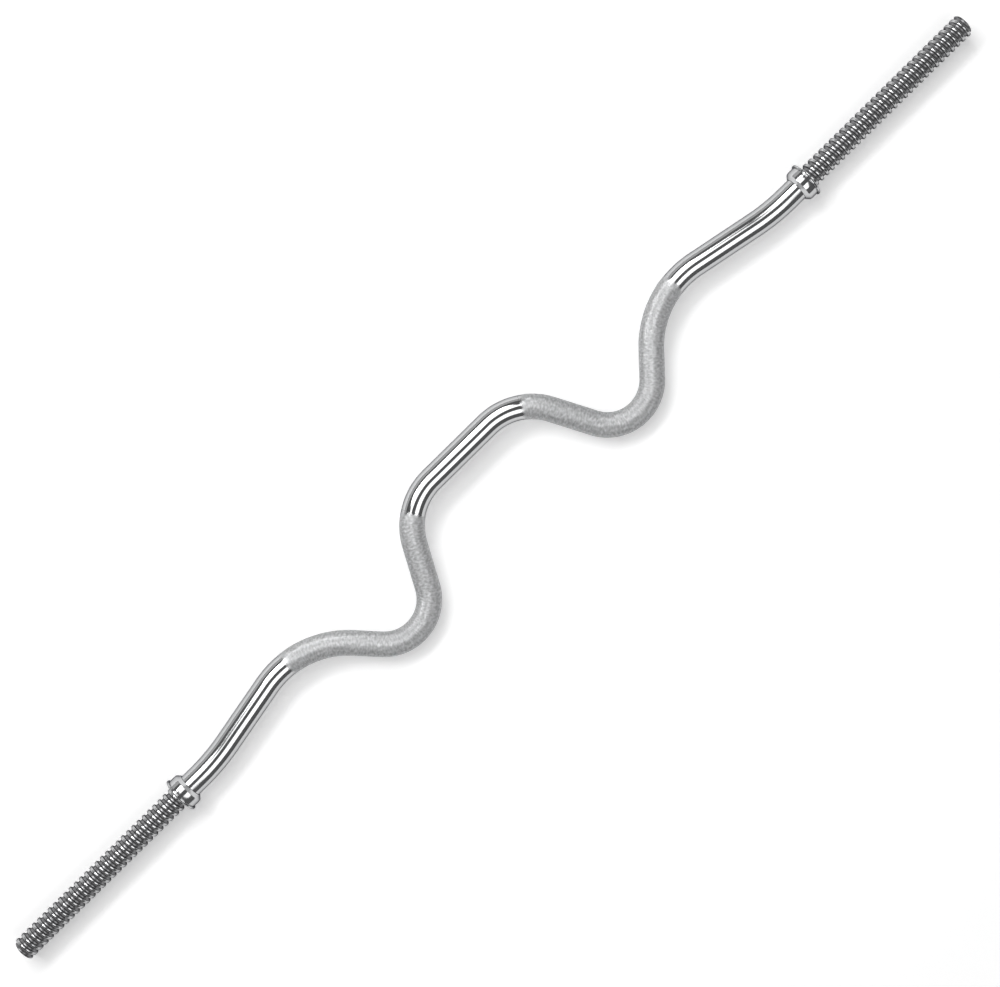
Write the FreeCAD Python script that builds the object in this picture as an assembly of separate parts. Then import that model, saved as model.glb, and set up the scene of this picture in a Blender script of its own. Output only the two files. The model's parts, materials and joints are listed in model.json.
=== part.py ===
import FreeCAD, Part
import math
import os

# Curl bar: a solid steel rod, bent to a cambered grip, with a collar pinned on near each end
# as a stop for the weight plates. It lies as it does on a floor, on the flanges of its
# collars and on its two inner bends. Millimetres: X runs along the sleeves, z = 0 is the
# floor, and the origin lies under the middle of the bar.

Vector = FreeCAD.Vector

# Rod
bar_diameter = 25.0
knurl_height = 0.5
grip_start = 76.0
grip_length = 265.0
thread_relief = 0.25
sleeve_length = 220.0
sleeve_end_chamfer = 1.5

# Bending table of one half, from the middle of the bar to the sleeve
centre_straight = 77.0
shoulder_radius = 65.0
shoulder_turn = 62.0
inner_leg = 45.0
inner_bend_radius = 45.0
inner_bend_turn = 110.0
hand_straight = 28.5
outer_bend_radius = 97.0
outer_bend_turn = 59.0
outer_leg = 70.0
sleeve_bend_radius = 230.0
run_to_collar = 12.4

# Collar, from its bar side to its plate side
collar_bore_clearance = 0.05
collar_nose_wall = 0.7
collar_cone_length = 4.0
collar_shoulder_round = 3.5
collar_band_wall = 4.95
collar_band_width = 8.6
collar_flange_lip = 1.75
collar_flange_thickness = 2.5
collar_flange_chamfer = 0.4
collar_rim_round = 1.4

# Slotted spring pin through collar and rod
pin_diameter = 4.0
pin_wall = 0.8
pin_slot = 0.9
pin_hole_clearance = 0.02
pin_end_recess = 0.4
pin_end_chamfer = 0.4

# Radii that follow from these. The collar slides on over the thread, which stays below
# the surface of the rod.
bar_radius = bar_diameter / 2
grip_radius = bar_radius + knurl_height
thread_radius = bar_radius - thread_relief
bore_radius = bar_radius + collar_bore_clearance
band_radius = bore_radius + collar_band_wall
flange_radius = band_radius + collar_flange_lip
pin_radius = pin_diameter / 2
pin_hole_radius = pin_radius + pin_hole_clearance

# The last bend brings the rod back in line with the sleeves
sleeve_bend_turn = shoulder_turn + outer_bend_turn - inner_bend_turn
collar_length = collar_cone_length + collar_band_width + collar_flange_thickness

TINY = 1e-6
X_AXIS = Vector(1, 0, 0)
Y_AXIS = Vector(0, 1, 0)
Z_AXIS = Vector(0, 0, 1)
CENTRE = Vector(0, 0, 0)


def disc(centre, normal, radius):
    """Round face across the rod."""
    return Part.Face(Part.Wire(Part.makeCircle(radius, centre, normal)))


class Straight:
    """Straight run of the centreline, from a point along a heading in degrees."""

    def __init__(self, start, heading, length):
        angle = math.radians(heading)
        self.start = start
        self.heading = heading
        self.length = length
        self.direction = Vector(math.cos(angle), math.sin(angle), 0)

    def point(self, distance):
        """Place on the centreline, a distance from the start of the run."""
        return self.start + self.direction * distance

    def end_heading(self):
        """Heading of the run that follows."""
        return self.heading

    def sweep(self, first, last, radius):
        """Round rod between two distances along the run."""
        face = disc(self.point(first), self.direction, radius)
        return face.extrude(self.direction * (last - first))


class Bend:
    """Round bend of the centreline. A positive turn goes towards +Y."""

    def __init__(self, start, heading, bend_radius, turn):
        self.heading = heading
        self.turn = turn
        self.side = math.copysign(1.0, turn)
        self.radius = bend_radius
        self.length = bend_radius * math.radians(abs(turn))
        self.centre = start + self.inward(0) * bend_radius

    def angle(self, distance):
        """Heading in radians, a distance from the start of the bend."""
        return math.radians(self.heading) + self.side * distance / self.radius

    def inward(self, distance):
        """Direction from the centreline to the centre of the bend."""
        angle = self.angle(distance)
        return Vector(-math.sin(angle), math.cos(angle), 0) * self.side

    def point(self, distance):
        """Place on the centreline, a distance from the start of the bend."""
        return self.centre - self.inward(distance) * self.radius

    def end_heading(self):
        """Heading of the run that follows."""
        return self.heading + self.turn

    def sweep(self, first, last, radius):
        """Round rod between two distances along the bend."""
        angle = self.angle(first)
        face = disc(self.point(first), Vector(math.cos(angle), math.sin(angle), 0), radius)
        turn = self.side * math.degrees((last - first) / self.radius)
        return face.revolve(self.centre, Z_AXIS, turn)


class Centreline:
    """Half of the rod's centreline, laid out run by run from the middle of the bar."""

    def __init__(self, start):
        self.runs = []
        self.place = start
        self.heading = 0.0

    def add(self, run):
        """Put a run at the end, and go on from where it leads."""
        self.runs.append(run)
        self.place = run.point(run.length)
        self.heading = run.end_heading()

    def straight(self, length):
        """Go straight on."""
        self.add(Straight(self.place, self.heading, length))

    def bend(self, radius, turn):
        """Turn, towards +Y if the turn is positive."""
        if abs(turn) > TINY:
            self.add(Bend(self.place, self.heading, radius, turn))

    def length(self):
        """Length along the path."""
        return sum(run.length for run in self.runs)

    def depth(self):
        """How far the bends reach below the sleeve axis, in the bend plane."""
        bends = [run for run in self.runs if isinstance(run, Bend) and run.turn > 0]
        return max(bend.radius - bend.centre.y for bend in bends)

    def sweep(self, first, last, radius):
        """Solids of a round rod between two distances along the path."""
        solids = []
        passed = 0.0
        for run in self.runs:
            low = max(first - passed, 0.0)
            high = min(last - passed, run.length)
            if high - low > TINY:
                solids.append(run.sweep(low, high, radius))
            passed += run.length
        return solids


def bent_half(start):
    """Centreline of one half, from the middle of the bar to the plate side of its collar."""
    line = Centreline(start)
    line.straight(centre_straight / 2)
    line.bend(shoulder_radius, -shoulder_turn)
    line.straight(inner_leg)
    line.bend(inner_bend_radius, inner_bend_turn)
    line.straight(hand_straight)
    line.bend(outer_bend_radius, -outer_bend_turn)
    line.straight(outer_leg)
    line.bend(sleeve_bend_radius, sleeve_bend_turn)
    line.straight(run_to_collar + collar_length)
    return line


# The sleeves lie on the X axis, so the layout starts as high as its bends lead down
drop = -bent_half(CENTRE).place.y
centreline = bent_half(Vector(0, drop, 0))
stop_x = centreline.place.x
collar_x = stop_x - collar_length
end_x = stop_x + sleeve_length
pin_x = collar_x + collar_cone_length + collar_band_width / 2

# The bend plane leans until the inner bends reach the floor that the flanges stand on
rest_lean = math.degrees(math.asin((flange_radius - grip_radius) / centreline.depth()))


def one_solid(shape):
    """The solid of a shape that is in one piece."""
    solid, = shape.Solids
    return solid


def mirrored(shape):
    """The same shape on the left half."""
    return shape.mirror(CENTRE, X_AXIS)


def at_rest(shape):
    """Turn a shape about the sleeve axis and lift it onto the floor."""
    placed = shape.copy()
    placed.rotate(CENTRE, X_AXIS, rest_lean)
    placed.translate(Z_AXIS * flange_radius)
    return placed


def turned(points):
    """Solid of revolution about X, from the (x, radius) points of its half section."""
    outline = [Vector(x, radius, 0) for x, radius in points]
    face = Part.Face(Part.makePolygon(outline + outline[:1]))
    return face.revolve(CENTRE, X_AXIS, 360)


def pin_hole():
    """Hole through collar and rod, across the sleeve axis in the bend plane."""
    start = Vector(pin_x, -flange_radius, 0)
    return Part.makeCylinder(pin_hole_radius, 2 * flange_radius, start, Y_AXIS)


def thread_blank():
    """Sleeve turned to the outside diameter of its thread, with a chamfered end."""
    return turned([
        (stop_x, 0),
        (stop_x, thread_radius),
        (end_x - sleeve_end_chamfer, thread_radius),
        (end_x, thread_radius - sleeve_end_chamfer),
        (end_x, 0),
    ])


def make_bar():
    """The rod: smooth middle, knurled hand zones, smooth legs and sleeves, as one solid."""
    grip_end = grip_start + grip_length
    half = centreline.sweep(0, grip_start, bar_radius)
    half += centreline.sweep(grip_start, grip_end, grip_radius)
    half += centreline.sweep(grip_end, centreline.length(), bar_radius)
    half.append(thread_blank())
    pieces = half + [mirrored(piece) for piece in half]
    rod = pieces[0].multiFuse(pieces[1:]).removeSplitter()
    return one_solid(rod.cut([pin_hole(), mirrored(pin_hole())]))


def round_edges(shape, x, radius):
    """Edges of a turned shape that run round it at one place and radius."""
    circles = [edge for edge in shape.Edges if isinstance(edge.Curve, Part.Circle)]
    return [edge for edge in circles
            if abs(edge.Curve.Center.x - x) < TINY and abs(edge.Curve.Radius - radius) < TINY]


def make_collar():
    """Turned collar: a cone up from the rod, a band and the flange that stops the plates."""
    cone_end = collar_x + collar_cone_length
    flange_start = stop_x - collar_flange_thickness
    ring = turned([
        (collar_x, bore_radius),
        (collar_x, bore_radius + collar_nose_wall),
        (cone_end, band_radius),
        (flange_start, band_radius),
        (flange_start, flange_radius - collar_flange_chamfer),
        (flange_start + collar_flange_chamfer, flange_radius),
        (stop_x, flange_radius),
        (stop_x, bore_radius),
    ])
    ring = ring.makeFillet(collar_shoulder_round, round_edges(ring, cone_end, band_radius))
    ring = ring.makeFillet(collar_rim_round, round_edges(ring, stop_x, flange_radius))
    return one_solid(ring.cut(pin_hole()))


def make_pin():
    """Slotted spring pin: a rolled tube with chamfered ends, just below the band's surface."""
    length = 2 * (band_radius - pin_end_recess)
    start = Vector(pin_x, -length / 2, 0)
    outside = Part.makeCylinder(pin_radius, length, start, Y_AXIS)
    ends = [edge for edge in outside.Edges if edge.BoundBox.YLength < TINY]
    outside = outside.makeChamfer(pin_end_chamfer, ends)
    inside = Part.makeCylinder(pin_radius - pin_wall, length, start, Y_AXIS)
    slot = Part.makeBox(pin_diameter, length, pin_slot, start - Z_AXIS * (pin_slot / 2))
    return one_solid(outside.cut([inside, slot]))


nodes = {
    "bar": make_bar(),
    "left_collar": mirrored(make_collar()),
    "right_collar": make_collar(),
    "left_collar_pin": mirrored(make_pin()),
    "right_collar_pin": make_pin(),
}

os.makedirs("parts", exist_ok=True)
for name, shape in nodes.items():
    solid = at_rest(shape)
    solid.exportStep("parts/" + name + ".step")
    print(name, "valid", solid.isValid(), "volume", round(solid.Volume, 1))
print("overall length", round(2 * end_x, 2), "lean", round(rest_lean, 3))
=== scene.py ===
"""Cambered curl bar: its looks, its studio and its camera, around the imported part.

Metres, in the part's own frame. X runs along the sleeves, Z is up from the floor, and +Y is the
side to which the centre section of the bar is bent.
"""

import cmath
import json
import logging
import math
from dataclasses import dataclass
from enum import Enum
from typing import Any

import bmesh
import bpy
import numpy as np
from mathutils import Matrix, Vector

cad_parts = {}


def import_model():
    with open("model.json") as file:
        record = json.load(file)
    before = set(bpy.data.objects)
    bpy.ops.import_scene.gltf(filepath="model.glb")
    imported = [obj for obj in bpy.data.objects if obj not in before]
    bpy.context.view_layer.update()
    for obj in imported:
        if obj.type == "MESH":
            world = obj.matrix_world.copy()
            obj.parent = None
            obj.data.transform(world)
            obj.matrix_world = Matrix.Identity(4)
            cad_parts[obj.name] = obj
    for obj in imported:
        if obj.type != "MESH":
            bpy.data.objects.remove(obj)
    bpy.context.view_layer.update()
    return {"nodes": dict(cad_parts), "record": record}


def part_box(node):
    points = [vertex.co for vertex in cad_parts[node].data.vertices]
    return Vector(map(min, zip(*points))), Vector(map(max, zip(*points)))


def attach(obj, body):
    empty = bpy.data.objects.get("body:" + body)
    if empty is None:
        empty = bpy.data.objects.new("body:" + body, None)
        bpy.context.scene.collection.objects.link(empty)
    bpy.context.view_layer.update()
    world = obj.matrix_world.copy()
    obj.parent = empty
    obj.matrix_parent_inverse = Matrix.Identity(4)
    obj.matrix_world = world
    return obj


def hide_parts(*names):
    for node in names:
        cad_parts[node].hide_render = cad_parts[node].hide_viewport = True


log = logging.getLogger("curl_bar")

MM = 0.001
BODY = "root"
Colour = tuple[float, float, float]

# Places of a Random Value node's sockets for plain numbers
RANDOM_LOW, RANDOM_HIGH, RANDOM_VALUE = 2, 3, 1

# How near a point lies to a cut, in metres, to count as on it
CUT_TOLERANCE = 1e-7
RIM_TOLERANCE = 1e-6


class Side(Enum):
    """Half of the bar, by the sign of its X."""

    LEFT = -1
    RIGHT = 1

    @property
    def word(self) -> str:
        """Word that starts the names of this side's pieces."""
        return self.name.lower()


class InputKind(Enum):
    """Kind of value that a Geometry Nodes tree takes in."""

    LENGTH = "NodeSocketFloat"
    COUNT = "NodeSocketInt"
    MATERIAL = "NodeSocketMaterial"


class NodePlan:
    """Node tree under construction, with short calls to add and join its nodes."""

    def __init__(self, tree: bpy.types.NodeTree) -> None:
        """Start from a tree."""
        self.tree = tree

    def node(self, kind: str, inputs: dict[str | int, Any], **settings: Any) -> bpy.types.Node:
        """Add a node, and set or join its inputs.

        Args:
            kind: Blender's name for the type of node.
            inputs: Value or output socket for each input, by its name or place.
            **settings: The node's own settings.

        Returns:
            The new node.
        """
        node = self.tree.nodes.new(kind)
        for name, value in settings.items():
            setattr(node, name, value)
        for key, value in inputs.items():
            if isinstance(value, bpy.types.NodeSocket):
                self.tree.links.new(value, node.inputs[key])
            else:
                node.inputs[key].default_value = value
        return node

    def math(self, operation: str, first: Any, second: Any = 0.0,
             clamp: bool = False) -> bpy.types.NodeSocket:
        """Add a Math node.

        Args:
            operation: Blender's name for the operation.
            first: First value or socket.
            second: Second value or socket.
            clamp: Whether the result stays between 0 and 1.

        Returns:
            The result's socket.
        """
        node = self.node("ShaderNodeMath", {0: first, 1: second}, operation=operation, use_clamp=clamp)
        return node.outputs[0]

    def ramp(self, value: Any, low: float, high: float, to_low: Any, to_high: Any,
             shape: str = "LINEAR") -> bpy.types.NodeSocket:
        """Add a Map Range node.

        Args:
            value: Value or socket to map.
            low: Value that becomes to_low.
            high: Value that becomes to_high.
            to_low: First end of the new range.
            to_high: Other end of the new range.
            shape: Blender's name for the way between them.

        Returns:
            The mapped value's socket.
        """
        inputs = {
            "Value": value, "From Min": low, "From Max": high, "To Min": to_low, "To Max": to_high}
        node = self.node("ShaderNodeMapRange", inputs, interpolation_type=shape)
        return node.outputs["Result"]

    def attribute(self, name: str) -> bpy.types.NodeSocket:
        """Add an Attribute node, and give the socket of the number kept under a name."""
        return self.node("ShaderNodeAttribute", {}, attribute_name=name).outputs["Fac"]


def evaluated_mesh(thing: bpy.types.Object, name: str) -> bpy.types.Mesh:
    """Copy an object's mesh as its modifiers leave it.

    Args:
        thing: Object with modifiers.
        name: Name of the new mesh.

    Returns:
        The plain mesh.
    """
    depsgraph = bpy.context.evaluated_depsgraph_get()
    mesh = bpy.data.meshes.new_from_object(
        thing.evaluated_get(depsgraph), preserve_all_data_layers=True, depsgraph=depsgraph)
    mesh.name = name
    return mesh


class GeometryPlan(NodePlan):
    """Geometry Nodes tree with named inputs, which ends in one dressed mesh."""

    def __init__(self, name: str) -> None:
        """Start an empty tree with a geometry going in and one coming out."""
        super().__init__(bpy.data.node_groups.new(name, "GeometryNodeTree"))
        self.identifiers: dict[str, str] = {}
        interface = self.tree.interface
        interface.new_socket(name="Path", in_out="INPUT", socket_type="NodeSocketGeometry")
        interface.new_socket(name="Piece", in_out="OUTPUT", socket_type="NodeSocketGeometry")
        self.entry = self.tree.nodes.new("NodeGroupInput")

    def take(self, name: str, kind: InputKind = InputKind.LENGTH) -> bpy.types.NodeSocket:
        """Add a named input.

        Args:
            name: Its name.
            kind: Its kind of value.

        Returns:
            The socket that carries it into the tree.
        """
        item = self.tree.interface.new_socket(name=name, in_out="INPUT", socket_type=kind.value)
        self.identifiers[name] = item.identifier
        return self.entry.outputs[name]

    def store(self, geometry: bpy.types.NodeSocket, name: str, value: Any) -> bpy.types.NodeSocket:
        """Keep a value at each point, for a finish to read.

        Args:
            geometry: Mesh that gets it.
            name: Name of the attribute.
            value: Value or socket.

        Returns:
            The mesh's socket.
        """
        inputs = {"Geometry": geometry, "Name": name, "Value": value}
        node = self.node("GeometryNodeStoreNamedAttribute", inputs, data_type="FLOAT", domain="POINT")
        return node.outputs["Geometry"]

    def close(self, geometry: bpy.types.NodeSocket, smooth: bool) -> None:
        """End the tree.

        Args:
            geometry: Finished mesh.
            smooth: Whether its faces are shaded as one smooth surface.
        """
        material = self.take("Finish", InputKind.MATERIAL)
        shaded = self.node("GeometryNodeSetShadeSmooth", {0: geometry, "Shade Smooth": smooth})
        real = self.node("GeometryNodeRealizeInstances", {0: shaded.outputs[0]})
        dressed = self.node("GeometryNodeSetMaterial", {0: real.outputs[0], "Material": material})
        self.node("NodeGroupOutput", {0: dressed.outputs[0]})

    def grow(self, name: str, path: list[Vector], values: dict[str, Any]) -> bpy.types.Mesh:
        """Run the tree along a path.

        Args:
            name: Name of the new mesh.
            path: Points of the path.
            values: Value of each named input.

        Returns:
            The result as a plain mesh.
        """
        path_mesh = bpy.data.meshes.new(name + "_path")
        path_mesh.from_pydata(path, [(i, i + 1) for i in range(len(path) - 1)], [])
        carrier = bpy.data.objects.new(name + "_path", path_mesh)
        bpy.context.scene.collection.objects.link(carrier)
        modifier = carrier.modifiers.new("Grow", "NODES")
        modifier.node_group = self.tree
        for key, value in values.items():
            modifier[self.identifiers[key]] = value
        mesh = evaluated_mesh(carrier, name)
        carrier.modifiers.remove(modifier)
        bpy.data.objects.remove(carrier)
        bpy.data.meshes.remove(path_mesh)
        return mesh


class RodTree(GeometryPlan):
    """Round rod along a path, closed at both ends."""

    def __init__(self) -> None:
        """Sweep a circle along the path, and keep the distance along it."""
        super().__init__("round_rod")
        radius = self.take("Radius")
        rows = self.take("Rows", InputKind.COUNT)
        around = self.take("Points Around", InputKind.COUNT)
        spacing = self.take("Row Spacing")
        swept = swept_tube(self, radius, rows, around)
        index = self.node("GeometryNodeInputIndex", {}).outputs[0]
        row = self.math("FLOOR", self.math("DIVIDE", index, around))
        kept = self.store(swept, "along", self.math("MULTIPLY", row, spacing))
        self.close(kept, smooth=True)


def swept_tube(plan: GeometryPlan, radius: Any, rows: Any, around: Any) -> bpy.types.NodeSocket:
    """Sweep a circle along a tree's path, with even rings.

    Args:
        plan: Tree that gets the nodes.
        radius: Socket of the radius.
        rows: Socket of the number of rings.
        around: Socket of the number of points in a ring.

    Returns:
        The closed tube's socket.
    """
    path = plan.node("GeometryNodeMeshToCurve", {0: plan.entry.outputs["Path"]})
    even = plan.node("GeometryNodeResampleCurve", {"Curve": path.outputs[0], "Count": rows})
    ring = plan.node("GeometryNodeCurvePrimitiveCircle", {"Resolution": around, "Radius": radius})
    tube = plan.node("GeometryNodeCurveToMesh", {
        "Curve": even.outputs[0], "Profile Curve": ring.outputs[0], "Fill Caps": True})
    return tube.outputs[0]


class KnurlTree(GeometryPlan):
    """Rod with a diamond knurl: pyramids between two sets of crossing grooves."""

    # Noise that counts as fully worn, and as fresh
    wear_range = (0.3, 0.7)

    def __init__(self) -> None:
        """Raise every second point of a fine tube, and fade the pattern at both ends."""
        super().__init__("diamond_knurl")
        rod = self.take("Rod Radius")
        swell = self.take("Swell")
        height = self.take("Point Height")
        uneven = self.take("Uneven Share")
        worn = self.take("Worn Share")
        streak_rows = self.take("Streak Rows")
        streak_columns = self.take("Streak Columns")
        seed = self.take("Seed", InputKind.COUNT)
        rows = self.take("Rows", InputKind.COUNT)
        around = self.take("Points Around", InputKind.COUNT)
        fade = self.take("Fade Rows", InputKind.COUNT)
        tube = swept_tube(self, rod, rows, around)
        index = self.node("GeometryNodeInputIndex", {}).outputs[0]
        row = self.math("FLOOR", self.math("DIVIDE", index, around))
        column = self.math("SUBTRACT", index, self.math("MULTIPLY", row, around))
        raised = self.math("MODULO", self.math("ADD", row, column), 2.0)
        last = self.math("SUBTRACT", rows, 1.0)
        to_end = self.math("MINIMUM", row, self.math("SUBTRACT", last, row))
        full = self.math("DIVIDE", to_end, fade, clamp=True)
        lowest = self.math("SUBTRACT", 1.0, uneven)
        chance = self.node(
            "FunctionNodeRandomValue", {RANDOM_LOW: lowest, RANDOM_HIGH: 1.0, "Seed": seed},
            data_type="FLOAT").outputs[RANDOM_VALUE]
        streak_row = self.math("DIVIDE", row, streak_rows)
        streak_column = self.math("DIVIDE", column, streak_columns)
        streak = self.node("ShaderNodeCombineXYZ", {0: streak_row, 1: streak_column, 2: seed})
        wear = self.node("ShaderNodeTexNoise", {
            "Vector": streak.outputs[0], "Scale": 1.0, "Detail": 1.0})
        fresh = self.ramp(wear.outputs[0], *self.wear_range, 0.0, 1.0)
        left = self.ramp(fresh, 0.0, 1.0, self.math("SUBTRACT", 1.0, worn), 1.0)
        tip = self.math("MULTIPLY", raised, self.math("MULTIPLY", chance, left))
        kept = self.store(self.store(tube, "fresh", fresh), "tip", self.math("MULTIPLY", tip, full))
        kept = self.store(kept, "rolled", full)
        normal = self.node("GeometryNodeInputNormal", {}).outputs[0]
        grown = self.math("ADD", swell, self.math("MULTIPLY", tip, height))
        lift = self.math("MULTIPLY", grown, full)
        offset = self.node("ShaderNodeVectorMath", {0: normal, "Scale": lift}, operation="SCALE")
        moved = self.node("GeometryNodeSetPosition", {"Geometry": kept, "Offset": offset.outputs[0]})
        split = self.node("GeometryNodeTriangulate", {0: moved.outputs[0]},
                          quad_method="SHORTEST_DIAGONAL")
        self.close(split.outputs[0], smooth=False)


class ThreadTree(GeometryPlan):
    """Coarse right-hand thread about X, as one helical sheet that is longer than the sleeve."""

    # Foot and top of a flank, on a wave that is 1 on the crest and -1 in the root
    flank_range = (-0.6, 0.55)
    seam_gap = 0.01 * MM

    def __init__(self) -> None:
        """Bend a flat grid round the axis: its length follows the helix, its width one pitch."""
        super().__init__("coarse_thread")
        pitch = self.take("Pitch")
        crest = self.take("Crest Radius")
        root = self.take("Root Radius")
        crown = self.take("Crown")
        length = self.take("Length")
        chamfer = self.take("End Chamfer")
        turns = self.take("Turns", InputKind.COUNT)
        around = self.take("Steps Around", InputKind.COUNT)
        across = self.take("Steps Across", InputKind.COUNT)
        long_side = self.math("ADD", self.math("MULTIPLY", turns, around), 1.0)
        grid = self.node("GeometryNodeMeshGrid", {
            "Size X": 1.0, "Size Y": 1.0, "Vertices X": long_side, "Vertices Y": across})
        place = self.node("GeometryNodeInputPosition", {}).outputs[0]
        flat = self.node("ShaderNodeSeparateXYZ", {0: place})
        turn = self.math("MULTIPLY", self.math("ADD", flat.outputs[0], 0.5), turns)
        share = self.math("ADD", flat.outputs[1], 0.5)
        angle = self.math("MULTIPLY", turn, math.tau)
        along = self.math("SUBTRACT", self.math("ADD", turn, share), 1.0)
        x = self.math("MULTIPLY", along, pitch)
        wave = self.math("COSINE", self.math("MULTIPLY", share, math.tau))
        form = self.ramp(wave, *self.flank_range, 0.0, 1.0, "SMOOTHSTEP")
        depth = self.math("SUBTRACT", crest, root)
        plain = self.math("ADD", root, self.math("MULTIPLY", form, depth))
        fall = self.math("MULTIPLY", crown, self.math("SUBTRACT", 1.0, wave))
        full = self.math("SUBTRACT", plain, fall)
        end = self.math("SUBTRACT", crest, chamfer)
        cone = self.math("ADD", end, self.math("SUBTRACT", length, x))
        radius = self.math("MINIMUM", full, cone)
        y = self.math("MULTIPLY", radius, self.math("COSINE", angle))
        z = self.math("MULTIPLY", radius, self.math("SINE", angle))
        bent = self.node("ShaderNodeCombineXYZ", {0: x, 1: y, 2: z})
        kept = self.store(grid.outputs["Mesh"], "crest", form)
        moved = self.node("GeometryNodeSetPosition", {"Geometry": kept, "Position": bent.outputs[0]})
        joined = self.node("GeometryNodeMergeByDistance", {
            "Geometry": moved.outputs[0], "Distance": self.seam_gap})
        self.close(joined.outputs[0], smooth=True)


@dataclass(frozen=True)
class Finish:
    """Metal finish, with a roughness that wanders between two values."""

    name: str
    colour: Colour
    smoothest: float
    roughest: float
    patch_scale: float = 40.0
    edge_tint: Colour = (0.12, 0.122, 0.13)
    patch_detail: float = 4.0
    patch_range: tuple[float, float] = (0.3, 0.7)

    def material(self) -> bpy.types.Material:
        """Build the material of this finish."""
        material = bpy.data.materials.new(self.name)
        material.use_nodes = True
        plan = NodePlan(material.node_tree)
        shader = material.node_tree.nodes["Principled BSDF"]
        shader.inputs["Base Color"].default_value = (*self.colour, 1.0)
        shader.inputs["Metallic"].default_value = 1.0
        shader.inputs["Specular Tint"].default_value = (*self.edge_tint, 1.0)
        place = plan.node("ShaderNodeTexCoord", {}).outputs["Object"]
        self.dress(plan, shader, place)
        return material

    def dress(self, plan: NodePlan, shader: bpy.types.Node, place: bpy.types.NodeSocket) -> None:
        """Join what varies over the surface.

        Args:
            plan: The material's node tree.
            shader: Its shader.
            place: Socket of the Object coordinates.
        """
        patches = self.noise(plan, place, self.patch_scale, self.patch_detail)
        rough = plan.ramp(patches, *self.patch_range, self.smoothest, self.roughest)
        plan.tree.links.new(rough, shader.inputs["Roughness"])

    @staticmethod
    def noise(plan: NodePlan, place: Any, scale: float, detail: float) -> bpy.types.NodeSocket:
        """Add a noise over the surface.

        Args:
            plan: The material's node tree.
            place: Socket of the coordinates.
            scale: Patches in a metre.
            detail: Octaves of finer noise.

        Returns:
            The socket of its value.
        """
        inputs = {"Vector": place, "Scale": scale, "Detail": detail}
        return plan.node("ShaderNodeTexNoise", inputs).outputs[0]

    @staticmethod
    def bump(plan: NodePlan, shader: bpy.types.Node, height: Any, strength: float,
             depth: float) -> None:
        """Add fine relief.

        Args:
            plan: The material's node tree.
            shader: Its shader.
            height: Socket of the height.
            strength: Share of the relief that shows.
            depth: Depth of the relief.
        """
        node = plan.node("ShaderNodeBump", {"Strength": strength, "Distance": depth, "Height": height})
        plan.tree.links.new(node.outputs[0], shader.inputs["Normal"])

    @staticmethod
    def between(plan: NodePlan, share: Any, first: Colour, second: Colour) -> bpy.types.NodeSocket:
        """Add a colour that goes from one to another.

        Args:
            plan: The material's node tree.
            share: Socket of the share of the second colour.
            first: Colour at a share of 0.
            second: Colour at a share of 1.

        Returns:
            The socket of the colour.
        """
        node = plan.node("ShaderNodeMix", {"Factor": share}, data_type="RGBA")
        colours = [socket for socket in node.inputs if socket.type == "RGBA"]
        colours[0].default_value = (*first, 1.0)
        colours[1].default_value = (*second, 1.0)
        return [socket for socket in node.outputs if socket.type == "RGBA"][0]


@dataclass(frozen=True)
class PolishedChrome(Finish):
    """Mirror chrome plate, with the faint rings that polishing leaves round the rod."""

    ring_scale: float = 1400.0
    ring_detail: float = 2.0
    ring_strength: float = 0.15
    ring_depth: float = 0.004 * MM

    def dress(self, plan: NodePlan, shader: bpy.types.Node, place: bpy.types.NodeSocket) -> None:
        """Add polishing rings to the patches. See Finish."""
        super().dress(plan, shader, place)
        rings = plan.node("ShaderNodeTexNoise", {
            "W": plan.attribute("along"), "Scale": self.ring_scale, "Detail": self.ring_detail},
            noise_dimensions="1D")
        self.bump(plan, shader, rings.outputs[0], self.ring_strength, self.ring_depth)


@dataclass(frozen=True)
class KnurledChrome(Finish):
    """Satin chrome on the knurl: bright in streaks across the rod, duller down in the grooves.

    It runs out into the polish of the rod at both ends, where the knurl is rolled less deep.
    """

    patch_detail: float = 3.0
    patch_range: tuple[float, float] = (0.35, 0.65)
    dimmest_patch: float = 0.7
    contrast: float = 0.3
    end_brightness: float = 0.5
    end_roughness: float = 0.09
    satin_from: float = 0.6

    def dress(self, plan: NodePlan, shader: bpy.types.Node, place: bpy.types.NodeSocket) -> None:
        """Vary the streaks, roughen the grooves and polish the ends. See Finish."""
        fresh = plan.attribute("fresh")
        rolled = plan.attribute("rolled")
        patches = self.noise(plan, place, self.patch_scale, self.patch_detail)
        clean = plan.ramp(patches, *self.patch_range, self.dimmest_patch, 1.0)
        bright = plan.math("MULTIPLY", fresh, clean)
        share = plan.ramp(rolled, 0.0, 1.0, self.end_brightness, bright)
        dull, fine = [tuple(part * (1.0 + change) for part in self.colour)
                      for change in (-self.contrast, self.contrast)]
        colour = self.between(plan, share, dull, fine)
        plan.tree.links.new(colour, shader.inputs["Base Color"])
        rough = plan.ramp(plan.attribute("tip"), 0.0, 1.0, self.roughest, self.smoothest)
        rough = plan.ramp(rolled, 0.0, self.satin_from, self.end_roughness, rough)
        plan.tree.links.new(rough, shader.inputs["Roughness"])


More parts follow.
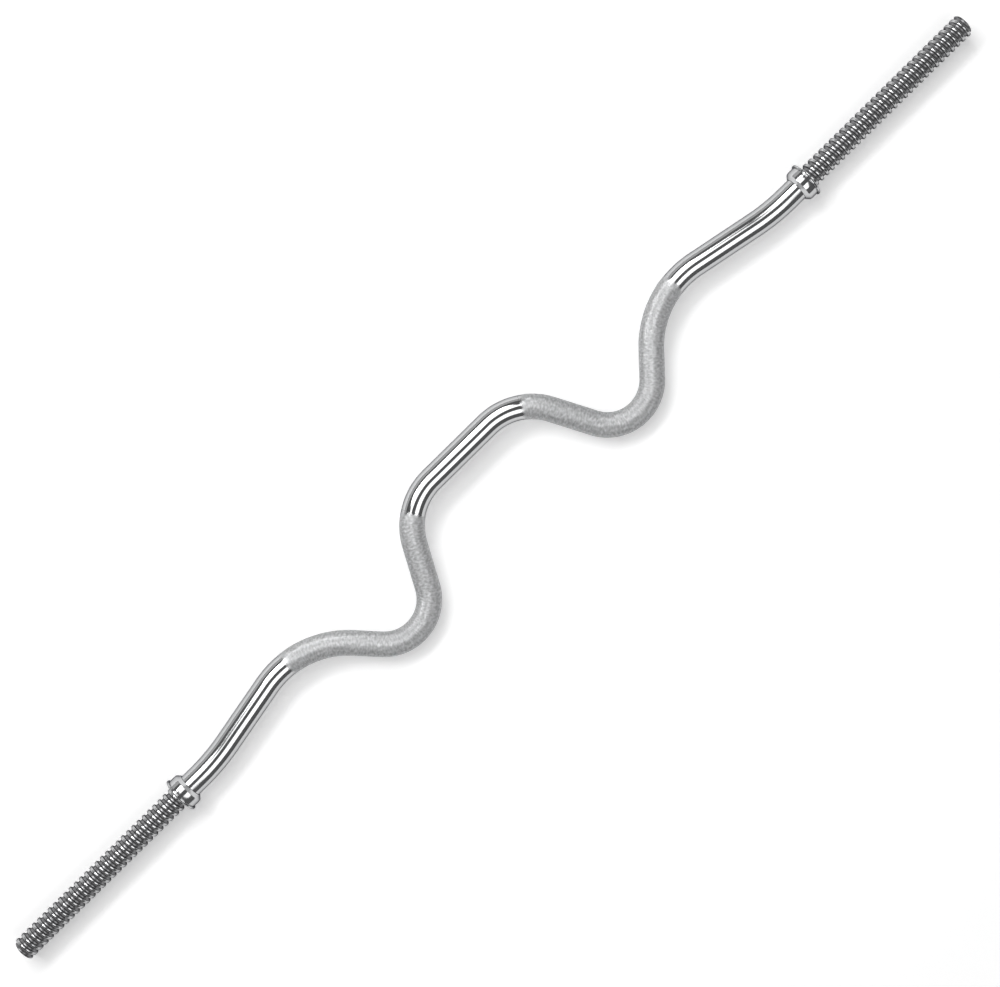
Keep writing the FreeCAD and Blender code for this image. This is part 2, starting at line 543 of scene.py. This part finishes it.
@dataclass(frozen=True)
class ThreadChrome(Finish):
    """Chrome on the rolled thread: bright crests, and duller flanks and roots whose colour is darkened
    as painted shade.
    """

    patch_range: tuple[float, float] = (0.3, 0.65)
    dimmest_patch: float = 0.6
    # Colour of the painted shade in the roots and low flanks
    painted_root_shade: Colour = (0.25, 0.25, 0.256)
    bright_from: float = 0.5
    mark_scale: float = 900.0
    mark_detail: float = 2.0
    mark_strength: float = 0.25
    mark_depth: float = 0.02 * MM

    def dress(self, plan: NodePlan, shader: bpy.types.Node, place: bpy.types.NodeSocket) -> None:
        """Darken the roots with painted shade, and lay fine rolling marks over the thread. See Finish.
        """
        height = plan.attribute("crest")
        crest = plan.ramp(height, self.bright_from, 1.0, 0.0, 1.0, "SMOOTHSTEP")
        patches = self.noise(plan, place, self.patch_scale, self.patch_detail)
        clean = plan.ramp(patches, *self.patch_range, self.dimmest_patch, 1.0)
        bright = plan.math("MULTIPLY", crest, clean)
        # Painted shade: the colour darkens from the crests down into the roots, and also varies at
        # random in patches
        colour = self.between(plan, bright, self.painted_root_shade, self.colour)
        plan.tree.links.new(colour, shader.inputs["Base Color"])
        rough = plan.ramp(bright, 0.0, 1.0, self.roughest, self.smoothest)
        plan.tree.links.new(rough, shader.inputs["Roughness"])
        marks = self.noise(plan, place, self.mark_scale, self.mark_detail)
        self.bump(plan, shader, marks, self.mark_strength, self.mark_depth)


@dataclass(frozen=True)
class TurnedChrome(Finish):
    """Chrome over a turned surface, with fine rings about the sleeve axis."""

    axis_height: float = 0.0
    ring_scale: float = 700.0
    ring_distortion: float = 0.4
    ring_detail: float = 1.0
    ring_strength: float = 0.12
    ring_depth: float = 0.01 * MM

    def dress(self, plan: NodePlan, shader: bpy.types.Node, place: bpy.types.NodeSocket) -> None:
        """Add turning rings to the patches. See Finish."""
        super().dress(plan, shader, place)
        centred = plan.node("ShaderNodeMapping", {
            "Vector": place, "Location": (0.0, 0.0, -self.axis_height)})
        rings = plan.node("ShaderNodeTexWave", {
            "Vector": centred.outputs[0], "Scale": self.ring_scale,
            "Distortion": self.ring_distortion, "Detail": self.ring_detail},
            wave_type="RINGS", rings_direction="X")
        self.bump(plan, shader, rings.outputs["Fac"], self.ring_strength, self.ring_depth)


@dataclass(frozen=True)
class SpringSteel(Finish):
    """Oiled spring steel, browned in patches by its heat treatment."""

    browned_colour: Colour = (0.30, 0.27, 0.25)
    brown_scale: float = 350.0
    brown_detail: float = 3.0
    brown_range: tuple[float, float] = (0.35, 0.65)
    grain_strength: float = 0.2
    grain_depth: float = 0.02 * MM

    def dress(self, plan: NodePlan, shader: bpy.types.Node, place: bpy.types.NodeSocket) -> None:
        """Brown the steel in patches. See Finish."""
        super().dress(plan, shader, place)
        patches = self.noise(plan, place, self.brown_scale, self.brown_detail)
        share = plan.ramp(patches, *self.brown_range, 0.0, 1.0)
        colour = self.between(plan, share, self.colour, self.browned_colour)
        plan.tree.links.new(colour, shader.inputs["Base Color"])
        self.bump(plan, shader, patches, self.grain_strength, self.grain_depth)


@dataclass(frozen=True)
class PaperFloor:
    """Pale paper under the bar, lifted a little to white where the camera or the metal sees it."""

    colour: Colour = (0.86, 0.86, 0.86)
    lift: float = 0.26
    roughness: float = 0.9
    gloss: float = 0.1

    def material(self) -> bpy.types.Material:
        """Build the paper's material."""
        material = bpy.data.materials.new("pale_paper")
        material.use_nodes = True
        plan = NodePlan(material.node_tree)
        shader = material.node_tree.nodes["Principled BSDF"]
        shader.inputs["Base Color"].default_value = (*self.colour, 1.0)
        shader.inputs["Roughness"].default_value = self.roughness
        shader.inputs["Specular IOR Level"].default_value = self.gloss
        shader.inputs["Emission Color"].default_value = (1.0, 1.0, 1.0, 1.0)
        path = plan.node("ShaderNodeLightPath", {})
        seen = plan.math("MAXIMUM", path.outputs["Is Camera Ray"], path.outputs["Is Glossy Ray"])
        seen = plan.math("MAXIMUM", seen, path.outputs["Is Transmission Ray"])
        lift = plan.math("MULTIPLY", seen, self.lift)
        plan.tree.links.new(lift, shader.inputs["Emission Strength"])
        return material


@dataclass(frozen=True)
class Run:
    """Run of the bending table: straight, or a round bend where it turns."""

    length: float
    turn: float = 0.0

    @classmethod
    def bend(cls, radius: float, degrees: float) -> "Run":
        """Bend of a given radius, towards +Y where the angle is positive."""
        turn = math.radians(degrees)
        return cls(radius * abs(turn), turn)

    def after(self, place: complex, heading: float, distance: float) -> tuple[complex, float]:
        """Follow the run for a distance.

        Args:
            place: Its start in the bend plane, as x + iy.
            heading: Heading at the start, in radians.
            distance: How far to go.

        Returns:
            The place and the heading there.
        """
        if not self.turn:
            return place + cmath.rect(distance, heading), heading
        radius = self.length / self.turn
        turned = heading + distance / radius
        return place + 1j * (cmath.rect(radius, heading) - cmath.rect(radius, turned)), turned


@dataclass(frozen=True)
class BendingTable:
    """Bends of one half of the rod, from its middle to the plate side of its stop."""

    centre_straight: float = 77.0 * MM
    shoulder_radius: float = 65.0 * MM
    shoulder_turn: float = 62.0
    inner_leg: float = 45.0 * MM
    inner_bend_radius: float = 45.0 * MM
    inner_bend_turn: float = 110.0
    hand_straight: float = 28.5 * MM
    outer_bend_radius: float = 97.0 * MM
    outer_bend_turn: float = 59.0
    outer_leg: float = 70.0 * MM
    sleeve_bend_radius: float = 230.0 * MM
    run_to_stop: float = 27.5 * MM

    def runs(self) -> list[Run]:
        """Runs in order. The last bend brings the rod back in line with the sleeves."""
        last_turn = self.shoulder_turn + self.outer_bend_turn - self.inner_bend_turn
        return [
            Run(self.centre_straight / 2),
            Run.bend(self.shoulder_radius, -self.shoulder_turn),
            Run(self.inner_leg),
            Run.bend(self.inner_bend_radius, self.inner_bend_turn),
            Run(self.hand_straight),
            Run.bend(self.outer_bend_radius, -self.outer_bend_turn),
            Run(self.outer_leg),
            Run.bend(self.sleeve_bend_radius, last_turn),
            Run(self.run_to_stop),
        ]


class Centreline:
    """Middle line of the rod, leaned until its inner bends reach the floor."""

    search_step = 0.25 * MM

    def __init__(self, table: BendingTable, axis_height: float, grip_radius: float) -> None:
        """Lay out the table.

        Args:
            table: Bends of one half.
            axis_height: Height of the sleeve axis above the floor.
            grip_radius: Radius of the rod where it touches the floor.
        """
        self.runs = table.runs()
        self.length = sum(run.length for run in self.runs)
        self.axis_height = axis_height
        # Laid out once from the axis, to see how far the middle has to start beside it
        self.drop = 0.0
        self.drop = -self.flat(self.length).imag
        steps = np.arange(0.0, self.length, self.search_step)
        lowest = min(self.flat(step).imag for step in steps)
        self.lean = math.asin((axis_height - grip_radius) / -lowest)

    def flat(self, distance: float) -> complex:
        """Place in the bend plane of the right half.

        Args:
            distance: Distance along the path from the middle of the bar.

        Returns:
            The place, as x + iy.
        """
        place, heading = complex(0.0, self.drop), 0.0
        for run in self.runs:
            step = min(distance, run.length)
            place, heading = run.after(place, heading, step)
            distance -= step
        return place

    def point(self, distance: float) -> Vector:
        """Place in the frame, with negative distances on the left half."""
        place = self.flat(abs(distance))
        x = math.copysign(place.real, distance)
        rise = math.sin(self.lean) * place.imag
        return Vector((x, math.cos(self.lean) * place.imag, self.axis_height + rise))

    def line(self, first: float, last: float, spacing: float = 0.5 * MM) -> list[Vector]:
        """Points along the path.

        Args:
            first: Distance of the first point.
            last: Distance of the last point.
            spacing: Space between points.

        Returns:
            The points in order.
        """
        count = max(2, round(abs(last - first) / spacing) + 1)
        return [self.point(distance) for distance in np.linspace(first, last, count)]


def place_piece(mesh: bpy.types.Mesh, name: str, node: str) -> None:
    """Put a finished mesh into the scene as a piece of the bar.

    Args:
        mesh: The mesh, in place.
        name: Name of the piece.
        node: CAD node that the piece stands for.
    """
    piece = bpy.data.objects.new(name, mesh)
    bpy.context.scene.collection.objects.link(piece)
    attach(piece, BODY)
    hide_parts(node)
    log.info("%s: %d faces", name, len(mesh.polygons))


def round_shading(mesh: bpy.types.Mesh, degrees: float = 35.0) -> None:
    """Shade a mesh smooth, apart from edges sharper than an angle."""
    mesh.polygons.foreach_set("use_smooth", [True] * len(mesh.polygons))
    mesh.set_sharp_from_angle(angle=math.radians(degrees))


@dataclass
class CrossHole:
    """Hole for the collar pin, across the sleeve axis in the plane of the bends."""

    centre: Vector
    direction: Vector
    radius: float = 2.02 * MM
    length: float = 60.0 * MM
    sides: int = 48

    def drill(self, mesh: bpy.types.Mesh) -> bpy.types.Mesh:
        """Cut the hole.

        Args:
            mesh: Closed mesh to drill, which is used up.

        Returns:
            The drilled mesh.
        """
        blank = bpy.data.objects.new("blank", mesh)
        cutter = bpy.data.objects.new("cutter", self.cutter_mesh())
        for thing in (blank, cutter):
            bpy.context.scene.collection.objects.link(thing)
        modifier = blank.modifiers.new("Drill", "BOOLEAN")
        modifier.operation = "DIFFERENCE"
        modifier.solver = "EXACT"
        modifier.object = cutter
        drilled = evaluated_mesh(blank, mesh.name)
        spare = cutter.data
        bpy.data.objects.remove(blank)
        bpy.data.objects.remove(cutter)
        bpy.data.meshes.remove(mesh)
        bpy.data.meshes.remove(spare)
        return drilled

    def cutter_mesh(self) -> bpy.types.Mesh:
        """Round bar of the hole's size."""
        turn = self.direction.to_track_quat("Z", "Y").to_matrix().to_4x4()
        shape = bmesh.new()
        bmesh.ops.create_cone(
            shape, cap_ends=True, segments=self.sides, radius1=self.radius, radius2=self.radius,
            depth=self.length, matrix=Matrix.Translation(self.centre) @ turn)
        mesh = bpy.data.meshes.new("cutter")
        shape.to_mesh(mesh)
        shape.free()
        return mesh


@dataclass(frozen=True)
class Rod:
    """Sizes that the parts of the rod share. Distances run along it from its middle."""

    radius: float = 12.5 * MM
    knurl_height: float = 0.5 * MM
    grip_start: float = 76.0 * MM
    grip_end: float = 341.0 * MM

    @property
    def grip_radius(self) -> float:
        """Radius over the points of the knurl."""
        return self.radius + self.knurl_height


@dataclass
class SmoothShaft:
    """The rod's polished parts: its middle, and the legs that run out through the stops."""

    rod: Rod
    row_spacing: float = 1.25 * MM
    around: int = 96

    def build(self, tree: RodTree, line: Centreline, finish: bpy.types.Material,
              holes: dict[Side, CrossHole]) -> None:
        """Make the three lengths.

        Args:
            tree: Tree of the round rod.
            line: Middle line of the rod.
            finish: Material of the polished rod.
            holes: Pin hole of each side.
        """
        half = self.rod.grip_start
        middle = self.length_of_rod(tree, "middle_shaft", line.line(-half, half), finish)
        round_shading(middle)
        place_piece(middle, "middle_shaft", "bar")
        for side in Side:
            name = side.word + "_leg"
            path = line.line(side.value * self.rod.grip_end, side.value * line.length)
            leg = holes[side].drill(self.length_of_rod(tree, name, path, finish))
            round_shading(leg)
            place_piece(leg, name, "bar")

    def length_of_rod(self, tree: RodTree, name: str, path: list[Vector],
                      finish: bpy.types.Material) -> bpy.types.Mesh:
        """Make one length.

        Args:
            tree: Tree of the round rod.
            name: Name of the mesh.
            path: Points of its middle line.
            finish: Its material.

        Returns:
            The closed mesh.
        """
        run = sum((b - a).length for a, b in zip(path, path[1:]))
        rows = round(run / self.row_spacing) + 1
        return tree.grow(name, path, {
            "Radius": self.rod.radius, "Rows": rows, "Points Around": self.around,
            "Row Spacing": run / (rows - 1), "Finish": finish})


@dataclass
class KnurledGrip:
    """Hand zone of one side, with a diamond knurl rolled into the rod."""

    side: Side
    rod: Rod
    point_height: float = 0.24 * MM
    uneven_share: float = 0.3
    worn_share: float = 0.5
    streak_rows: float = 2.6
    streak_columns: float = 5.0
    seed: int = 7
    row_spacing: float = 0.72 * MM
    around: int = 112
    fade_rows: int = 13

    def build(self, tree: KnurlTree, line: Centreline, finish: bpy.types.Material) -> None:
        """Make the grip.

        Args:
            tree: Tree of the knurl.
            line: Middle line of the rod.
            finish: Its material.
        """
        name = self.side.word + "_grip"
        start, end = self.rod.grip_start, self.rod.grip_end
        path = line.line(self.side.value * start, self.side.value * end)
        mesh = tree.grow(name, path, {
            "Rod Radius": self.rod.radius, "Swell": self.rod.knurl_height - self.point_height,
            "Point Height": self.point_height, "Uneven Share": self.uneven_share,
            "Worn Share": self.worn_share, "Streak Rows": self.streak_rows,
            "Streak Columns": self.streak_columns,
            "Seed": self.seed + self.side.value, "Points Around": self.around,
            "Rows": round((end - start) / self.row_spacing) + 1,
            "Fade Rows": self.fade_rows, "Finish": finish})
        place_piece(mesh, name, "bar")


@dataclass
class ThreadedSleeve:
    """Threaded end of one side, which takes the plates."""

    side: Side
    start_x: float
    length: float
    axis_height: float
    pitch: float = 7.33 * MM
    crest_radius: float = 12.25 * MM
    root_radius: float = 10.4 * MM
    crown: float = 0.25 * MM
    end_chamfer: float = 1.2 * MM
    steps_around: int = 60
    steps_across: int = 25
    sharp_angle: float = 50.0

    def build(self, tree: ThreadTree, finish: bpy.types.Material) -> None:
        """Make the sleeve.

        Args:
            tree: Tree of the thread.
            finish: Its material.
        """
        name = self.side.word + "_thread"
        mesh = tree.grow(name, [Vector()], {
            "Pitch": self.pitch, "Crest Radius": self.crest_radius, "Root Radius": self.root_radius,
            "Crown": self.crown, "Length": self.length, "End Chamfer": self.end_chamfer,
            "Turns": math.ceil(self.length / self.pitch) + 1, "Steps Around": self.steps_around,
            "Steps Across": self.steps_across, "Finish": finish})
        self.square_off(mesh)
        turn = Matrix.Rotation(math.pi if self.side is Side.LEFT else 0.0, 4, "Z")
        lift = Matrix.Translation((self.side.value * self.start_x, 0.0, self.axis_height))
        mesh.transform(lift @ turn)
        round_shading(mesh, self.sharp_angle)
        place_piece(mesh, name, "bar")

    def square_off(self, mesh: bpy.types.Mesh) -> None:
        """Cut the helical sheet square at both ends and close it with flat faces."""
        shape = bmesh.new()
        shape.from_mesh(mesh)
        for x, outward in ((0.0, -1.0), (self.length, 1.0)):
            bmesh.ops.bisect_plane(
                shape, geom=shape.verts[:] + shape.edges[:] + shape.faces[:], dist=CUT_TOLERANCE,
                plane_co=(x, 0.0, 0.0), plane_no=(outward, 0.0, 0.0), clear_outer=True)
            rim = [edge for edge in shape.edges if edge.is_boundary and all(
                abs(vert.co.x - x) < RIM_TOLERANCE for vert in edge.verts)]
            cap = bmesh.ops.edgeloop_fill(shape, edges=rim)
            bmesh.ops.poke(shape, faces=cap["faces"])
        bmesh.ops.recalc_face_normals(shape, faces=shape.faces)
        shape.to_mesh(mesh)
        shape.free()


@dataclass
class PlateStop:
    """Turned collar of one side: a cone up from the rod, a band, and the flange for the plates."""

    side: Side
    start_x: float
    axis_height: float
    bore_radius: float = 12.55 * MM
    nose_radius: float = 13.25 * MM
    band_radius: float = 17.5 * MM
    flange_radius: float = 19.25 * MM
    shoulder_radius: float = 17.1 * MM
    cone_length: float = 3.3 * MM
    taper_length: float = 0.9 * MM
    band_width: float = 8.4 * MM
    flange_thickness: float = 2.5 * MM
    nose_round: float = 0.25 * MM
    cone_round: float = 0.5 * MM
    band_start_round: float = 0.4 * MM
    band_end_round: float = 0.3 * MM
    lip_round: float = 0.25 * MM
    rim_round: float = 1.4 * MM
    band_crown: float = 0.15 * MM
    crowned_share: float = 0.85
    crown_points: int = 9
    around: int = 160

    def build(self, finish: bpy.types.Material, hole: CrossHole) -> None:
        """Make the collar.

        Args:
            finish: Its material.
            hole: Its pin hole.
        """
        name = self.side.word + "_plate_stop"
        mesh = hole.drill(self.turned(name, finish))
        round_shading(mesh)
        place_piece(mesh, name, self.side.word + "_collar")

    def outline(self) -> list[tuple[float, float]]:
        """Half section, as distances from the bar side and radii, with rounded corners."""
        band_start = self.cone_length + self.taper_length
        band_end = band_start + self.band_width
        stop = band_end + self.flange_thickness
        edge = self.band_radius - self.band_crown
        band = []
        for share in np.linspace(-self.crowned_share, self.crowned_share, self.crown_points):
            x = band_start + self.band_width * (share + 1) / 2
            band.append((x, self.band_radius - self.band_crown * share ** 2, 0.0))
        corners = [
            (0.0, self.bore_radius, 0.0),
            (0.0, self.nose_radius, self.nose_round),
            (self.cone_length, self.shoulder_radius, self.cone_round),
            (band_start, edge, self.band_start_round),
            *band,
            (band_end, edge, self.band_end_round),
            (band_end, self.flange_radius, self.lip_round),
            (stop, self.flange_radius, self.rim_round),
            (stop, self.bore_radius, 0.0),
        ]
        return rounded(corners)

    def turned(self, name: str, finish: bpy.types.Material) -> bpy.types.Mesh:
        """Turn the half section about the sleeve axis.

        Args:
            name: Name of the mesh.
            finish: Its material.

        Returns:
            The closed ring, in place.
        """
        section = self.outline()
        points = []
        for step in range(self.around):
            angle = math.tau * step / self.around
            for x, radius in section:
                points.append((
                    self.side.value * (self.start_x + x),
                    radius * math.cos(angle),
                    self.axis_height + radius * math.sin(angle)))
        size = len(section)
        faces = []
        for step in range(self.around):
            near = step * size
            far = (step + 1) % self.around * size
            for i in range(size):
                j = (i + 1) % size
                faces.append((near + i, near + j, far + j, far + i))
        mesh = bpy.data.meshes.new(name)
        mesh.from_pydata(points, [], faces)
        mesh.materials.append(finish)
        shape = bmesh.new()
        shape.from_mesh(mesh)
        bmesh.ops.recalc_face_normals(shape, faces=shape.faces)
        shape.to_mesh(mesh)
        shape.free()
        return mesh


def rounded(corners: list[tuple[float, float, float]], steps: int = 5) -> list[tuple[float, float]]:
    """Round the corners of a closed outline.

    Args:
        corners: Place of each corner, x and y, and the radius that rounds it.
        steps: Straight steps round a corner.

    Returns:
        Points of the rounded outline.
    """
    points = []
    count = len(corners)
    for i, (x, y, radius) in enumerate(corners):
        here = complex(x, y)
        if radius == 0.0:
            points.append((x, y))
            continue
        back = complex(*corners[i - 1][:2]) - here
        ahead = complex(*corners[(i + 1) % count][:2]) - here
        back /= abs(back)
        ahead /= abs(ahead)
        half = abs(cmath.phase(ahead / back)) / 2
        middle = (back + ahead) / abs(back + ahead)
        centre = here + middle * radius / math.sin(half)
        first = here + back * radius / math.tan(half) - centre
        sweep = cmath.phase((here + ahead * radius / math.tan(half) - centre) / first)
        for step in range(steps + 1):
            spot = centre + first * cmath.exp(1j * sweep * step / steps)
            points.append((spot.real, spot.imag))
    return points


@dataclass(frozen=True)
class Panel:
    """Flat lamp: its middle, its size, how evenly it shines along and across, and how it is turned."""

    name: str
    place: tuple[float, float, float]
    length: float
    width: float
    brightness: float
    even_along: float
    even_across: float = 0.98
    tilt: float = 0.0
    turn: float = 0.0


@dataclass
class Studio:
    """Pale paper floor, two softboxes with a dark gap between them, a bright strip and grey cards."""

    panels: tuple[Panel, ...] = (
        Panel("back_softbox", (0.0, 0.84, 2.3), 2.2, 0.99, 2.5, 0.85),
        Panel("shadow_strip", (0.0, 1.84, 2.3), 2.6, 1.05, 9.6, 0.8, 0.7),
        Panel("front_softbox", (0.0, -1.71, 2.3), 2.2, 1.93, 2.1, 0.85),
        Panel("back_card", (0.0, 3.0, 0.75), 6.0, 1.5, 0.45, 0.9, tilt=-90.0),
        Panel("left_card", (-3.2, 0.0, 0.75), 5.0, 1.5, 0.45, 0.9, tilt=-90.0, turn=90.0),
        Panel("right_card", (3.2, 0.0, 0.75), 5.0, 1.5, 0.45, 0.9, tilt=-90.0, turn=-90.0),
    )
    surround: Colour = (0.14, 0.14, 0.142)
    floor_half: float = 30.0

    def build(self) -> None:
        """Set up floor, lamps and surround."""
        self.floor()
        for panel in self.panels:
            self.hang(panel)
        self.world()

    def floor(self) -> None:
        """Lay the paper."""
        half = self.floor_half
        mesh = bpy.data.meshes.new("paper_floor")
        corners = [(-half, -half, 0.0), (half, -half, 0.0), (half, half, 0.0), (-half, half, 0.0)]
        mesh.from_pydata(corners, [], [(0, 1, 2, 3)])
        mesh.materials.append(PaperFloor().material())
        floor = bpy.data.objects.new("paper_floor", mesh)
        bpy.context.scene.collection.objects.link(floor)

    def hang(self, panel: Panel) -> None:
        """Hang a panel lamp, which fades towards its edges."""
        light = bpy.data.lights.new(panel.name, "AREA")
        light.shape = "RECTANGLE"
        light.size = panel.length
        light.size_y = panel.width
        light.energy = math.pi * panel.length * panel.width * panel.brightness
        light.use_nodes = True
        plan = NodePlan(light.node_tree)
        spot = plan.node("ShaderNodeNewGeometry", {}).outputs["Parametric"]
        shares = plan.node("ShaderNodeSeparateXYZ", {0: spot}).outputs
        fades = []
        for share, even in zip(shares, (panel.even_along, panel.even_across)):
            off_middle = plan.math("ABSOLUTE", plan.math("SUBTRACT", share, 0.5))
            fades.append(plan.ramp(off_middle, even / 2, 0.5, 1.0, 0.0, "SMOOTHSTEP"))
        strength = plan.math("MULTIPLY", *fades)
        plan.tree.links.new(strength, light.node_tree.nodes["Emission"].inputs["Strength"])
        lamp = bpy.data.objects.new(panel.name, light)
        lamp.location = panel.place
        lamp.rotation_euler = (math.radians(panel.tilt), 0.0, math.radians(panel.turn))
        lamp.visible_camera = False
        bpy.context.scene.collection.objects.link(lamp)

    def world(self) -> None:
        """Set the dim room round the set."""
        room = bpy.data.worlds.new("studio_room")
        room.use_nodes = True
        room.node_tree.nodes["Background"].inputs["Color"].default_value = (*self.surround, 1.0)
        bpy.context.scene.world = room


@dataclass
class StudioCamera:
    """Camera straight above the bar, turned so that the bar lies across the picture's diagonal."""

    lens: float = 75.6
    sensor: float = 36.0
    place: tuple[float, float, float] = (0.25 * MM, -9.04 * MM, 2119.25 * MM)
    roll: float = -44.54

    def build(self) -> None:
        """Set up the camera and use it."""
        data = bpy.data.cameras.new("studio_camera")
        data.lens = self.lens
        data.sensor_width = self.sensor
        camera = bpy.data.objects.new("studio_camera", data)
        camera.location = self.place
        camera.rotation_euler = (0.0, 0.0, math.radians(self.roll))
        bpy.context.scene.collection.objects.link(camera)
        bpy.context.scene.camera = camera


def dress_pins(frame: dict[str, Any], finish: bpy.types.Material) -> None:
    """Give the two collar pins of the part their finish."""
    for side in Side:
        name = side.word + "_collar_pin"
        mesh = frame["nodes"][name].data
        mesh.materials.clear()
        mesh.materials.append(finish)
        log.info("%s: dressed", name)


def slot_colours(frame: dict[str, Any]) -> dict[str, Colour]:
    """Colour of each material slot of the record."""
    return {slot["slot"]: tuple(slot["base_color"]) for slot in frame["record"]["materials"]}


def main() -> None:
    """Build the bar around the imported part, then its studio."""
    logging.basicConfig(level=logging.INFO, format="%(name)s %(message)s")
    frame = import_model()
    colours = slot_colours(frame)
    collar_low, collar_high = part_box("right_collar")
    bar_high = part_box("bar")[1]
    axis_height = (collar_low.z + collar_high.z) / 2
    stop_x = collar_high.x
    rod = Rod()
    line = Centreline(BendingTable(), axis_height, rod.grip_radius)

    chrome = PolishedChrome(
        "polished_chrome", colours["bar_chrome"], smoothest=0.06, roughest=0.12).material()
    knurl = KnurledChrome(
        "knurled_chrome", colours["bar_chrome"], smoothest=0.36, roughest=0.5,
        patch_scale=280.0).material()
    thread = ThreadChrome(
        "thread_chrome", colours["bar_chrome"], smoothest=0.12, roughest=0.33,
        edge_tint=(0.05, 0.05, 0.052)).material()
    turned = TurnedChrome(
        "turned_chrome", colours["collar_chrome"], smoothest=0.06, roughest=0.14,
        axis_height=axis_height).material()
    steel = SpringSteel(
        "spring_steel", colours["pin_steel"], smoothest=0.3, roughest=0.5).material()

    across = Vector((0.0, math.cos(line.lean), math.sin(line.lean)))
    holes: dict[Side, CrossHole] = {}
    for side in Side:
        low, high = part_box(side.word + "_collar_pin")
        holes[side] = CrossHole((low + high) / 2, across)
    SmoothShaft(rod).build(RodTree(), line, chrome, holes)
    knurl_tree = KnurlTree()
    thread_tree = ThreadTree()
    for side in Side:
        KnurledGrip(side, rod).build(knurl_tree, line, knurl)
        ThreadedSleeve(side, stop_x, bar_high.x - stop_x, axis_height).build(thread_tree, thread)
        PlateStop(side, collar_low.x, axis_height).build(turned, holes[side])
    dress_pins(frame, steel)

    Studio().build()
    StudioCamera().build()
    bpy.context.scene.view_settings.view_transform = "Standard"


if __name__ == "__main__":
    main()
